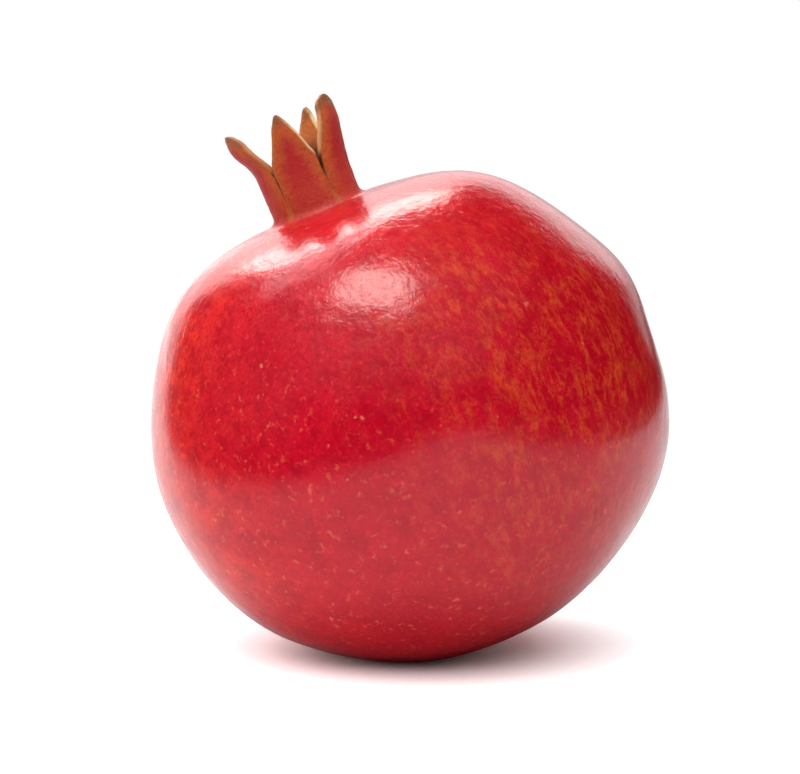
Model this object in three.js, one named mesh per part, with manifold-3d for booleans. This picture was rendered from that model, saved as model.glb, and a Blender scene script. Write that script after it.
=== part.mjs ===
// A whole ripe pomegranate, resting on the small flat spot that its own weight presses into it.
// Millimetres, +Z up. The origin is the middle of that spot, and -Y is the front.
//
// The fruit is modelled in a frame of its own: the origin in its middle, +Z out through the
// crown, and azimuth counted from the front towards the right. The frame then leans to one side.

import * as THREE from 'three';
import { mergeVertices } from 'three/addons/utils/BufferGeometryUtils.js';
import Module from 'manifold-3d';

const wasm = await Module();
wasm.setup();

// ---------------------------------------------------------------- Driving dimensions
// Millimetres and degrees.

const LEAN = 24; // the crown leans this far from upright, to the left
const NOD = 2; // and this far to the back
const FRUIT_MIDDLE = new THREE.Vector3(2.1, -0.5, 44.2); // above the resting spot

// From the fruit's middle to its skin, every 20 degrees from the crown to the stem end.
const SKIN_STEP = 20;
const SKIN = [40.9, 42.9, 45.7, 46.6, 47.3, 46.6, 46.2, 45.3, 44.9, 44.7];
const CROWN_EDGE = 14.6; // the skin reaches this close to the crown, as an angle
const SOCKET_EDGE = 176; // and this close to the stem end

// Soft swells and hollows of the skin: angle from the crown, azimuth, how far it spreads, rise.
const SWELLS = [
  [32, -90, 26, 2.2],
  [104, -90, 36, 1.25],
  [14, 90, 8, -0.25],
  [30, 90, 24, 1.0],
  [42, 90, 14, 0.4],
  [60, 90, 20, 0.25],
  [80, 90, 10, 0.6],
  [95, 90, 10, -0.55],
  [118, 90, 30, 1.45],
  [95, 10, 34, 0.7],
  [60, 30, 26, 0.35],
  [92, 175, 40, 0.8],
  [48, -150, 30, 0.75],
  [128, -170, 30, 0.6],
  [180, 0, 7, -1.5], // the dimple at the stem end
];

// Calyx: a cup grown out of the skin, whose rim is drawn out into five sepals.
const CALYX_SHIFT = 0.45; // the cup stands this far to the right of the axis
const FOOT = SKIN[0]; // height where it leaves the skin
const FOOT_FILLET = 1.8;
const CUP_RADIUS = 8.25; // outside
const CUP_WALL = 1.6;
const CUP_BASE = 3.2; // height of the plain part, above the foot
const CUP_FLOOR = 0.9; // height of the floor, above the foot
const FLOOR_ROUND = 0.9;
const SEPAL_WALL = 1.1;
const MARGIN_WALL = 0.8;
const PLAIN_RIM = 10; // height of the cup's wall above its base, before the sepals are drawn out

// Each sepal's margin, from the notch on its left, over its tip, to just before the next notch:
// azimuth and height above the foot. lean is how far its middle leans out, every LEAN_STEP above
// the cup's base, and fold how far its margins turn in.
const LEAN_STEP = 4;
const SEPALS = [
  {
    margin: [
      [-35, 10.3], [-25, 12.4], [-15, 15.4], [-7, 18.1],
      [1.5, 20], [8.5, 17.9], [15, 15.6], [22, 12.6],
    ],
    lean: [0, 0.15, 0.8, 1.9, 2.6],
    fold: 0.3,
  },
  {
    margin: [
      [30, 9.7], [36.5, 12.6], [43.5, 15.2], [46.5, 17.1],
      [47, 18.6], [57, 19.6], [73, 19.4], [90, 16.2],
    ],
    lean: [0, 0.3, 1.1, 2.1, 2.6],
    fold: 0.3,
  },
  {
    margin: [
      [105, 9], [119, 10.4], [131, 12.2], [142, 15],
      [151, 18.7], [161, 16.2], [172, 13.4], [183, 11.1],
    ],
    lean: [0, 0.1, 0.7, 1.6, 2.3],
    fold: 0.4,
  },
  {
    margin: [
      [195, 8.4], [203, 8.8], [211, 9.4], [219, 9.9],
      [226, 10.1], [234, 9.8], [242, 9.4], [250, 9],
    ],
    lean: [0, 0.2, 0.8, 1.8, 2.5],
    fold: 0.4,
  },
  {
    margin: [
      [258, 8.6], [262, 11.6], [268, 15], [276, 18.2],
      [293, 19.1], [308, 18], [315, 15.8], [319, 13],
    ],
    lean: [0, 0, 0.3, 2.3, 2.75],
    fold: 0.3,
  },
];

// Withered stamens and style inside the calyx, and the stub of the stalk in its socket.
const PIECE_GAP = 0.3;
const STYLE_RADIUS = 0.9;
const STYLE_TOP = 8.4; // above the foot
const STIGMA_HEIGHT = 1.6;
const STAMENS_RADIUS = 6.1;
const STAMENS_TOP = 6.8; // above the foot
const STAMENS_ROUND = 1.4;
const SOCKET_RADIUS = 3.1;
const SOCKET_DEPTH = 1.1;
const STUB_RADIUS = 2.5;
const STUB_LENGTH = 1.9;
const STUB_ROUND = 0.4;

// Facets
const SKIN_ROWS = 32;
const FILLET_ROWS = 4;
const COLUMNS = 80;
const SECTOR = 360 / SEPALS.length;

// ---------------------------------------------------------------- Helpers

const { clamp, degToRad, lerp, radToDeg, smoothstep } = THREE.MathUtils;

/** A point in a turned profile: distance from the axis, and height. */
const at = (radius, height) => new THREE.Vector2(radius, height);

/** Turns a profile about +Z, with column 0 at the front. */
function turned(profile, columns) {
  return new THREE.LatheGeometry(profile, columns).rotateX(Math.PI / 2);
}

/** Moves every vertex of a geometry with a function that changes the point it is given. */
function reshape(geometry, change) {
  const position = geometry.attributes.position;
  const point = new THREE.Vector3();
  for (let i = 0; i < position.count; i += 1) {
    change(point.fromBufferAttribute(position, i));
    position.setXYZ(i, point.x, point.y, point.z);
  }
  return geometry;
}

/** The closed geometry as a solid that can be cut. */
function toSolid(geometry) {
  const bare = geometry.clone().deleteAttribute('normal').deleteAttribute('uv');
  const merged = mergeVertices(bare, 1e-4);
  const corners = merged.index.array;
  const kept = [];
  for (let i = 0; i < corners.length; i += 3) {
    const [a, b, c] = corners.slice(i, i + 3);
    if (a !== b && b !== c && c !== a) kept.push(a, b, c);
  }
  return new wasm.Manifold(
    new wasm.Mesh({
      numProp: 3,
      vertProperties: new Float32Array(merged.attributes.position.array),
      triVerts: new Uint32Array(kept),
    }),
  );
}

/** A solid back as a geometry. */
function toGeometry(solid) {
  const mesh = solid.getMesh();
  const geometry = new THREE.BufferGeometry();
  geometry.setAttribute('position', new THREE.BufferAttribute(mesh.vertProperties, 3));
  geometry.setIndex(new THREE.BufferAttribute(mesh.triVerts, 1));
  geometry.computeVertexNormals();
  return geometry;
}

function named(name, geometry, look) {
  const mesh = new THREE.Mesh(geometry, new THREE.MeshStandardMaterial({ metalness: 0, ...look }));
  mesh.name = name;
  return mesh;
}

// ---------------------------------------------------------------- Skin

/** A smooth curve from p1 to p2 that heads on from p0 and on to p3. */
function blend(p0, p1, p2, p3, t) {
  const slope = (p2 - p0) * t;
  const square = (2 * p0 - 5 * p1 + 4 * p2 - p3) * t * t;
  const cube = (3 * p1 - p0 - 3 * p2 + p3) * t * t * t;
  return 0.5 * (2 * p1 + slope + square + cube);
}

/** Smooth curve through evenly spaced values, straight past its ends. */
function curve(values, x) {
  const i = clamp(Math.floor(x), 0, values.length - 2);
  const [p1, p2] = [values[i], values[i + 1]];
  const p0 = values[i - 1] ?? 2 * p1 - p2;
  const p3 = values[i + 2] ?? 2 * p2 - p1;
  return blend(p0, p1, p2, p3, x - i);
}

/** Distance from the fruit's middle to its skin at an angle from the crown. */
function skinRadius(angle) {
  const last = SKIN.length - 1;
  const x = angle / SKIN_STEP;
  const i = clamp(Math.floor(x), 0, last - 1);
  return blend(SKIN[Math.abs(i - 1)], SKIN[i], SKIN[i + 1], SKIN[i + 2] ?? SKIN[last - 1], x - i);
}

function skinPoint(angle) {
  const radius = skinRadius(angle);
  return at(radius * Math.sin(degToRad(angle)), radius * Math.cos(degToRad(angle)));
}

function direction(angle, azimuth) {
  const [a, b] = [degToRad(angle), degToRad(azimuth)];
  return new THREE.Vector3(Math.sin(a) * Math.sin(b), -Math.sin(a) * Math.cos(b), Math.cos(a));
}

const swells = SWELLS.map(([angle, azimuth, spread, rise]) => ({
  towards: direction(angle, azimuth),
  spread: degToRad(spread),
  rise,
}));

/** Pushes a point away from the fruit's middle by the swells around it. */
function swell(point) {
  let rise = 0;
  for (const s of swells) {
    rise += s.rise * Math.exp(-((point.angleTo(s.towards) / s.spread) ** 2));
  }
  point.setLength(point.length() + rise);
}

/** The skin's profile, from the stem end up to where the calyx begins. */
function skinProfile() {
  const rows = [...Array(SKIN_ROWS + 1).keys()];
  return rows.map((row) => skinPoint(lerp(SOCKET_EDGE, CROWN_EDGE, row / SKIN_ROWS)));
}

/** The socket that the stalk's stub sits in. */
function socketProfile() {
  const floor = SOCKET_DEPTH - SKIN.at(-1);
  return [at(0, floor), at(SOCKET_RADIUS - 0.1, floor)];
}

// ---------------------------------------------------------------- Calyx

/** The fillet at the calyx's foot: it leaves along the skin and ends upright. */
function filletProfile() {
  const start = skinPoint(CROWN_EDGE);
  const before = skinPoint(CROWN_EDGE + 1);
  const end = at(CUP_RADIUS, FOOT + FOOT_FILLET);
  const slope = (start.y - before.y) / (start.x - before.x);
  const corner = at(end.x, start.y + slope * (end.x - start.x));
  const round = new THREE.QuadraticBezierCurve(start, corner, end);
  return round.getPoints(FILLET_ROWS).slice(1);
}

/** The calyx as a plain cup: up its outside, over the rim and down to the floor. */
function cupProfile() {
  const base = FOOT + CUP_BASE;
  const rises = [0, 0.18, 0.36, 0.52, 0.68, 0.84];
  const thinned = rises.at(-1); // from here up the wall thins to its margin
  const points = filletProfile();
  for (const rise of rises) points.push(at(CUP_RADIUS, base + rise * PLAIN_RIM));
  points.push(at(CUP_RADIUS - (SEPAL_WALL - MARGIN_WALL) / 2, base + PLAIN_RIM));
  points.push(at(CUP_RADIUS - (SEPAL_WALL + MARGIN_WALL) / 2, base + PLAIN_RIM));
  for (const rise of rises.reverse()) {
    points.push(at(CUP_RADIUS - lerp(CUP_WALL, SEPAL_WALL, rise / thinned), base + rise * PLAIN_RIM));
  }
  const [inner, floor] = [CUP_RADIUS - CUP_WALL, FOOT + CUP_FLOOR];
  points.push(at(inner, floor + FLOOR_ROUND), at(inner - FLOOR_ROUND, floor), at(0, floor));
  return points;
}

/** Draws the plain cup's rim out into sepals. Points below the cup's base only turn. */
function drawSepals(point) {
  const base = FOOT + CUP_BASE;
  const azimuth = radToDeg(Math.atan2(point.x, -point.y));
  const sector = (azimuth + SECTOR / 2 + 360) % 360;
  const index = Math.floor(sector / SECTOR) % SEPALS.length;
  const across = sector / SECTOR - index;
  const { margin, lean, fold } = SEPALS[index];
  const [endAzimuth, endHeight] = SEPALS[(index + 1) % SEPALS.length].margin[0];
  const wrap = endAzimuth < margin[0][0] ? 360 : 0;
  const whole = [...margin, [endAzimuth + wrap, endHeight]];

  // The notches aren't evenly spaced, so the columns of the cup turn a little to meet them.
  const level = lerp(whole[0][0], whole.at(-1)[0], across);
  const even = (index - 0.5 + across) * SECTOR;
  const turn = (level - even) * smoothstep(point.z, FOOT - 2, base);
  point.applyAxisAngle(new THREE.Vector3(0, 0, 1), degToRad(turn));
  if (point.z <= base) return;

  const station = across * margin.length;
  const rise = (point.z - base) / PLAIN_RIM;
  const rimAzimuth = curve(whole.map((end) => end[0]), station);
  const rimHeight = curve(whole.map((end) => end[1]), station);
  const height = lerp(base, FOOT + rimHeight, rise);
  const folded = fold * Math.sin(Math.PI * Math.abs(2 * across - 1)) * rise ** 2;
  const radius = Math.hypot(point.x, point.y);
  const leaning = curve(lean, (height - base) / LEAN_STEP) - folded;
  point.applyAxisAngle(new THREE.Vector3(0, 0, 1), degToRad((rimAzimuth - level) * rise));
  point.x *= (radius + leaning) / radius;
  point.y *= (radius + leaning) / radius;
  point.z = height;
}

/** Sets the calyx, and what is in it, a little to one side. */
function shiftCalyx(point) {
  point.x += CALYX_SHIFT * smoothstep(point.z, FOOT - 2, FOOT + FOOT_FILLET);
}

// ---------------------------------------------------------------- Pieces

const leaning = new THREE.Group();
leaning.rotation.set(degToRad(-NOD), degToRad(-LEAN), 0, 'YXZ');
leaning.position.copy(FRUIT_MIDDLE);
leaning.updateMatrixWorld();

/** Rind and calyx, grown as one, with the resting spot pressed flat. */
function fruit() {
  const whole = turned([...socketProfile(), ...skinProfile(), ...cupProfile()], COLUMNS);
  reshape(whole, (point) => {
    drawSepals(point);
    shiftCalyx(point);
    swell(point);
  });
  const [width, depth] = [120, 30]; // of the block that presses the spot flat
  const surface = new THREE.BoxGeometry(width, width, depth).translate(0, 0, -depth / 2);
  surface.applyMatrix4(leaning.matrixWorld.clone().invert());
  return toGeometry(toSolid(whole).subtract(toSolid(surface)));
}

/** The ring of withered stamens, as the space that they fill around the style. */
function stamens() {
  const inner = STYLE_RADIUS + PIECE_GAP;
  const floor = FOOT + CUP_FLOOR + 2 * PIECE_GAP;
  const top = FOOT + STAMENS_TOP;
  const round = STAMENS_ROUND;
  const profile = [
    at(inner, floor),
    at(STAMENS_RADIUS - round, floor),
    at(STAMENS_RADIUS, floor + round),
    at(STAMENS_RADIUS, top - round),
    at(STAMENS_RADIUS - round, top),
    at(inner + round, top),
    at(inner, top - round),
    at(inner, floor),
  ];
  return reshape(turned(profile, 20), inCalyx);
}

/** The withered style, standing in the middle of the stamens. */
function style() {
  const floor = FOOT + CUP_FLOOR + 2 * PIECE_GAP;
  const top = FOOT + STYLE_TOP;
  const [neck, stigma] = [0.55 * STYLE_RADIUS, 0.85 * STYLE_RADIUS];
  const profile = [
    at(0, floor),
    at(STYLE_RADIUS, floor),
    at(neck, top - STIGMA_HEIGHT),
    at(stigma, top - 0.4 * STIGMA_HEIGHT),
    at(neck, top),
    at(0, top),
  ];
  return reshape(turned(profile, 12), inCalyx);
}

/** What is in the calyx moves with the skin under it. */
function inCalyx(point) {
  shiftCalyx(point);
  swell(point);
}

/** The stub of the stalk, broken off inside the dimple. */
function stemStub() {
  const inner = SOCKET_DEPTH - SKIN.at(-1) - PIECE_GAP;
  const profile = [
    at(0, inner - STUB_LENGTH),
    at(STUB_RADIUS - STUB_ROUND, inner - STUB_LENGTH),
    at(STUB_RADIUS, inner - STUB_LENGTH + STUB_ROUND),
    at(STUB_RADIUS, inner),
    at(0, inner),
  ];
  return reshape(turned(profile, 20), swell);
}

leaning.add(named('fruit', fruit(), { color: 0xc01822, roughness: 0.35 }));
leaning.add(named('stamens', stamens(), { color: 0x8a6234, roughness: 0.95 }));
leaning.add(named('style', style(), { color: 0x9a7440, roughness: 0.9 }));
leaning.add(named('stem_stub', stemStub(), { color: 0x6e4c30, roughness: 0.95 }));

const pomegranate = new THREE.Group();
pomegranate.add(leaning);

export default pomegranate;
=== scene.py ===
# A whole ripe pomegranate, resting on the small flat spot that its own weight presses into it.
#
# Lengths in the tables are millimetres and angles are degrees, as a grower would measure them.
# The fruit is shaped in a frame of its own: the origin in its middle, +Z out through the crown,
# and azimuth counted from the front towards the right. The frame then leans to one side.
import math
import random

import bmesh
import bpy
import numpy as np
from mathutils import Euler, Matrix, Vector, kdtree, noise


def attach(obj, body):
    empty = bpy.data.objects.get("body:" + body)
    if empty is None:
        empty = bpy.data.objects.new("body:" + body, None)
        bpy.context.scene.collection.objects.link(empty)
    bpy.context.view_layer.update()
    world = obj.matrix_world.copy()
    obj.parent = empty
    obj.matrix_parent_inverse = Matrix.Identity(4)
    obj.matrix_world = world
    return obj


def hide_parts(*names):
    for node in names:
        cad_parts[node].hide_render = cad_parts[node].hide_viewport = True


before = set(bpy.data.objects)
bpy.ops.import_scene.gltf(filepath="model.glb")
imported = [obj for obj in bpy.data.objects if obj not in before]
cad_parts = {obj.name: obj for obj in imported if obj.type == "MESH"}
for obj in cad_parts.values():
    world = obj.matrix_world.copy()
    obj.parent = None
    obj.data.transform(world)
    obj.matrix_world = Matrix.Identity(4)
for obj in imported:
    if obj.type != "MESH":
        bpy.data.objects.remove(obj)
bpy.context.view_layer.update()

bl_info = {
    "name": "Pomegranate",
    "version": (1, 0, 0),
    "blender": (4, 5, 0),
    "location": "3D View > Sidebar > Pomegranate",
    "description": "Grows a whole ripe pomegranate with its calyx, stamens, style and stalk stub",
    "category": "Add Mesh",
}

MM = 0.001

# ------------------------------------------------------------------ Shape of the fruit

# From the fruit's middle to its skin, every 20 degrees from the crown to the stem end.
SKIN_STEP = 20
SKIN = (40.9, 42.9, 45.7, 46.6, 47.3, 46.6, 46.2, 45.3, 44.9, 44.7)

# Soft swells and hollows of the skin: angle from the crown, azimuth, how far it spreads, rise.
SWELLS = (
    (32, -90, 26, 2.2),
    (104, -90, 36, 1.25),
    (14, 90, 8, -0.25),
    (30, 90, 24, 1.0),
    (42, 90, 14, 0.4),
    (60, 90, 20, 0.25),
    (80, 90, 10, 0.6),
    (95, 90, 10, -0.55),
    (118, 90, 30, 1.45),
    (95, 10, 34, 0.7),
    (60, 30, 26, 0.35),
    (92, 175, 40, 0.8),
    (48, -150, 30, 0.75),
    (128, -170, 30, 0.6),
    (180, 0, 7, -1.5),  # the dimple at the stem end
)

CALYX_SHIFT = 0.45  # the cup stands this far to the right of the axis
FOOT = SKIN[0]  # height where the calyx leaves the skin
FOOT_FILLET = 1.8
CUP_RADIUS = 8.25  # outside
CUP_WALL = 1.6
CUP_BASE = 3.2  # height of the plain part, above the foot
CUP_FLOOR = 0.9  # height of the floor at its edge, above the foot
SEPAL_WALL = 1.1
MARGIN_WALL = 0.8
PLAIN_RIM = 10  # height of the cup's wall above its base, before the sepals are drawn out

# Each sepal's margin, from the notch on its left, over its tip, to just before the next notch:
# azimuth and height above the foot. lean is how far its middle leans out, every LEAN_STEP above
# the cup's base, fold how far its margins turn in, and slit how deep the notch on its left goes
# on as a narrow slit. pale is how much yellow tint its left and right margins get: partly their
# own dry colour, partly a painted highlight where the lamps catch them.
LEAN_STEP = 4
SEPALS = (
    dict(  # front
        margin=(
            (-35, 10.3), (-25, 12.4), (-15, 15.4), (-7, 18.1),
            (1.5, 20.0), (8.5, 17.9), (15, 15.6), (22, 12.6),
        ),
        lean=(0, 0.15, 0.8, 1.9, 2.6), fold=0.3, slit=0.6, pale=(0.1, 1),
    ),
    dict(  # right
        margin=(
            (30, 9.7), (36.5, 12.6), (43.5, 15.2), (46.5, 17.1),
            (47, 18.6), (57, 19.6), (73, 19.4), (90, 16.2),
        ),
        lean=(0, 0.3, 1.1, 2.1, 2.6), fold=0.3, slit=2.4, pale=(0.35, 0.1),
    ),
    dict(  # back right
        margin=(
            (105, 9.0), (119, 10.4), (131, 12.2), (142, 15.0),
            (151, 18.7), (161, 16.2), (172, 13.4), (183, 11.1),
        ),
        lean=(0, 0.1, 0.7, 1.6, 2.3), fold=0.4, slit=0.6, pale=(0.9, 0.2),
    ),
    dict(  # back left
        margin=(
            (195, 8.4), (203, 8.8), (211, 9.4), (219, 9.9),
            (226, 10.1), (234, 9.8), (242, 9.4), (250, 9.0),
        ),
        lean=(0, 0.2, 0.8, 1.8, 2.5), fold=0.4, slit=0.8, pale=(0.4, 0.4),
    ),
    dict(  # left
        margin=(
            (258, 8.6), (262, 11.6), (268, 15.0), (276, 18.2),
            (293, 19.1), (308, 18.0), (315, 15.8), (319, 13.0),
        ),
        lean=(0, 0.0, 0.3, 2.3, 2.75), fold=0.3, slit=0.5, pale=(0.2, 0.2),
    ),
)
SECTOR = 360 / len(SEPALS)

PIECE_GAP = 0.3
PIECES_FLOOR = FOOT + CUP_FLOOR + 2 * PIECE_GAP  # where the stamens and the style start
STYLE_RADIUS = 0.9
STYLE_TOP = 8.4  # above the foot
STAMENS_RADIUS = 6.1
STAMENS_TOP = 6.8  # above the foot
SOCKET_RADIUS = 3.1
SOCKET_DEPTH = 1.1
STUB_RADIUS = 2.5
STUB_LENGTH = 1.9

# Flushes of colour on the resting fruit: azimuth from the front, height angle above the middle,
# how far it spreads, strength. The orange-red flushes, mostly on the left and on top, are partly the
# peel's own sun blush and partly painted light where the lamps fall; the dull flushes, mostly on
# the right and low down, are partly duller peel and partly painted shade away from the lamps.
FLUSHES = {
    "sun_blush_and_painted_light": (
        (-84, 12, 29, 1.0),
        (-88, 32, 22, 0.9),
        (-60, -30, 28, 0.6),
        (0, 66, 26, 0.4),
        (150, 10, 50, 0.5),
    ),
    "streaked": ((45, 20, 34, 1.0), (15, 30, 22, 0.5), (30, -20, 24, 0.45), (-160, 20, 40, 0.8)),
    # Dull flushes: partly duller peel, partly painted shade away from the lamps.
    "dull_and_painted_shade": ((70, 15, 40, 0.8), (32, 42, 24, 0.5), (20, -55, 30, 0.7), (-120, -20, 30, 0.5)),
    "dotted": (
        (-32, 22, 26, 1.0),
        (-62, 14, 32, 0.9),
        (0, 25, 20, 0.8),
        (-5, -35, 50, 0.75),
        (120, 30, 40, 0.8),
        (-150, 0, 40, 0.7),
    ),
    "flecked": (
        (-50, -25, 30, 1.0),
        (-80, 0, 26, 0.9),
        (-35, 8, 24, 0.6),
        (5, -30, 40, 0.9),
        (160, -20, 50, 1.0),
    ),
    "wrinkled": ((-25, 52, 34, 1.0), (70, 62, 40, 0.6), (180, 35, 60, 0.6)),
}

# Unevenness of the surfaces: how high it rises, how wide its bumps are, which noise it takes.
SKIN_DENTS = (0.16, 16, 1)
SKIN_UNEVENNESS = (0.05, 6, 2)
SKIN_GRAIN = (0.02, 2.6, 3)
SEPAL_RIBS = (0.10, 1.5, 4)
SEPAL_CRUMPLE = (0.07, 1.1, 5)
TIP_CRUMPLE = (0.12, 1.3, 6)
SHOULDER_PLEATS = (0.07, 1.0, 7)
STYLE_CREASES = (0.06, 0.7, 9)
BROKEN_WOOD = (0.35, 0.8, 10)
RIB_STRETCH = 0.22  # width of a sepal's rib as a share of its length
PLEAT_TURNS = 16  # radius of the circle that the pleats' noise is read on: more is finer
PLEAT_MIDDLE = 2  # out from the foot of the calyx
PLEAT_SPREAD = 4.5
CREASE_DEPTH = 0.4  # of the creases that run down from the slits
CREASE_WIDTH = 0.55
SLIT_WIDTH = 0.28
GRAIN_RADIUS = 48  # of the ball that the streaks' coordinates run round, about the fruit's own

# How finely the fruit's profile is drawn.
FRUIT_COLUMNS = 300
DIMPLE_ANGLES = np.arange(176, 164, -0.75)
SKIN_ANGLES = np.arange(164, 14.2, -0.9)
FILLET_ROWS = 12
PLAIN_ROWS = 5
SEPAL_ROWS = 42
ROW_CROWDING = 1.25  # above 1, the rows crowd towards the rim
RIM_ROWS = 7
COLUMN_CROWDING = 0.55  # above 0, the columns crowd towards the slits
WORN_FROM, WORN_PASSES = 0.9, 5  # the margins' rounding: from this share of a sepal up
THINNING_FROM = 0.84  # share of a sepal above which its wall thins to its margin


# ------------------------------------------------------------------ Small helpers


def linear(code):
    """An sRGB hex colour as linear RGBA."""
    parts = [int(code[i : i + 2], 16) / 255 for i in (1, 3, 5)]
    return [c / 12.92 if c <= 0.04045 else ((c + 0.055) / 1.055) ** 2.4 for c in parts] + [1.0]


def colour_property(name, description, code):
    return bpy.props.FloatVectorProperty(
        name=name, description=description, default=linear(code), subtype="COLOR", size=4, min=0, max=1
    )


def length_property(name, description, millimetres):
    return bpy.props.FloatProperty(
        name=name, description=description, default=millimetres * MM, unit="LENGTH", subtype="DISTANCE"
    )


def angle_property(name, description, degrees):
    return bpy.props.FloatProperty(
        name=name, description=description, default=math.radians(degrees), unit="ROTATION", subtype="ANGLE"
    )


def smoothstep(value, low, high):
    t = np.clip((value - low) / (high - low), 0, 1)
    return t * t * (3 - 2 * t)


def lerp(a, b, share):
    return a + (b - a) * share


def spline(p0, p1, p2, p3, t):
    """The place a share t of the way from p1 to p2, on a smooth curve through all four."""
    slope = (p2 - p0) * t
    square = (2 * p0 - 5 * p1 + 4 * p2 - p3) * t * t
    cube = (3 * p1 - p0 - 3 * p2 + p3) * t**3
    return 0.5 * (2 * p1 + slope + square + cube)


def direction(angle, azimuth):
    """Unit vector at an angle from +Z and an azimuth from the front towards the right."""
    a, b = math.radians(angle), math.radians(azimuth)
    return np.array((math.sin(a) * math.sin(b), -math.sin(a) * math.cos(b), math.cos(a)))


def mounds(points, table):
    """Sum of soft round mounds over the directions of points seen from the origin."""
    unit = points / np.maximum(np.linalg.norm(points, axis=1, keepdims=True), 1e-9)
    total = np.zeros(len(points))
    for angle, azimuth, spread, rise in table:
        apart = np.arccos(np.clip(unit @ direction(angle, azimuth), -1, 1))
        total += rise * np.exp(-((apart / math.radians(spread)) ** 2))
    return total


def ripple(points, unevenness):
    """Smooth noise at each point, from the height, width and seed of its bumps."""
    rise, size, seed = unevenness
    shift = Vector((seed * 17.3, seed * 5.9, seed * 11.1))
    return rise * np.array([noise.noise(Vector(p) / size + shift) for p in points])


def coordinates(mesh):
    return np.array([v.co for v in mesh.verts])


def put(mesh, points):
    for vert, point in zip(mesh.verts, points):
        vert.co = point


def swell(points):
    """Pushes points away from the fruit's middle by the swells around them."""
    length = np.linalg.norm(points, axis=1)
    return points * ((length + mounds(points, SWELLS)) / np.maximum(length, 1e-9))[:, None]


def shift_calyx(points):
    """Moves the calyx, and what stands in it, to its place beside the axis."""
    moved = points.copy()
    moved[:, 0] += CALYX_SHIFT * smoothstep(points[:, 2], FOOT - 2, FOOT + FOOT_FILLET)
    return moved


def fruit_middle():
    """The fruit's middle as it rests, in metres."""
    settings = bpy.context.scene.pomegranate_fruit
    return np.array((settings.middle_x, settings.middle_y, settings.middle_z))


def to_row(points):
    """From the fruit's own frame, in millimetres, to the frame it rests in, in metres."""
    settings = bpy.context.scene.pomegranate_fruit
    turn = Matrix.Rotation(-settings.lean, 3, "Y") @ Matrix.Rotation(-settings.nod, 3, "X")
    return points @ np.array(turn).T * MM + fruit_middle()


def turned(rows, columns):
    """A profile of (radius, height) rows turned about +Z, with its row numbers on a layer."""
    mesh = bmesh.new()
    row_layer = mesh.verts.layers.int.new("row")
    line = []
    for i, (radius, height) in enumerate(rows):
        vert = mesh.verts.new((0, -radius, height))
        vert[row_layer] = i
        line.append(vert)
    edges = [mesh.edges.new(pair) for pair in zip(line, line[1:])]
    bmesh.ops.spin(
        mesh,
        geom=line + edges,
        cent=(0, 0, 0),
        axis=(0, 0, 1),
        angle=math.tau,
        steps=columns,
        use_merge=True,
    )
    bmesh.ops.remove_doubles(mesh, verts=mesh.verts, dist=1e-4)
    bmesh.ops.recalc_face_normals(mesh, faces=mesh.faces)
    return mesh


def finish_piece(name, mesh, material, node, attributes=None):
    """Makes the object of a finished mesh, smooth shaded, in place of its CAD node."""
    for face in mesh.faces:
        face.smooth = True
    data = bpy.data.meshes.new(name)
    mesh.to_mesh(data)
    mesh.free()
    for key, values in (attributes or {}).items():
        values = np.asarray(values, dtype=np.float32)
        kind, field = ("FLOAT_VECTOR", "vector") if values.ndim == 2 else ("FLOAT", "value")
        made = data.attributes.new(key, kind, "POINT")
        made.data.foreach_set(field, values.ravel())
    data.materials.append(material)
    piece = bpy.data.objects.new(name, data)
    bpy.context.scene.collection.objects.link(piece)
    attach(piece, "root")
    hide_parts(node)
    return piece


# ------------------------------------------------------------------ Fruit


def skin_radius(angle):
    """Distance from the fruit's middle to its skin at an angle from the crown."""
    last = len(SKIN) - 1
    x = angle / SKIN_STEP
    i = min(max(int(x), 0), last - 1)
    following = SKIN[i + 2] if i + 2 <= last else SKIN[last - 1]
    return spline(SKIN[abs(i - 1)], SKIN[i], SKIN[i + 1], following, x - i)


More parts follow.
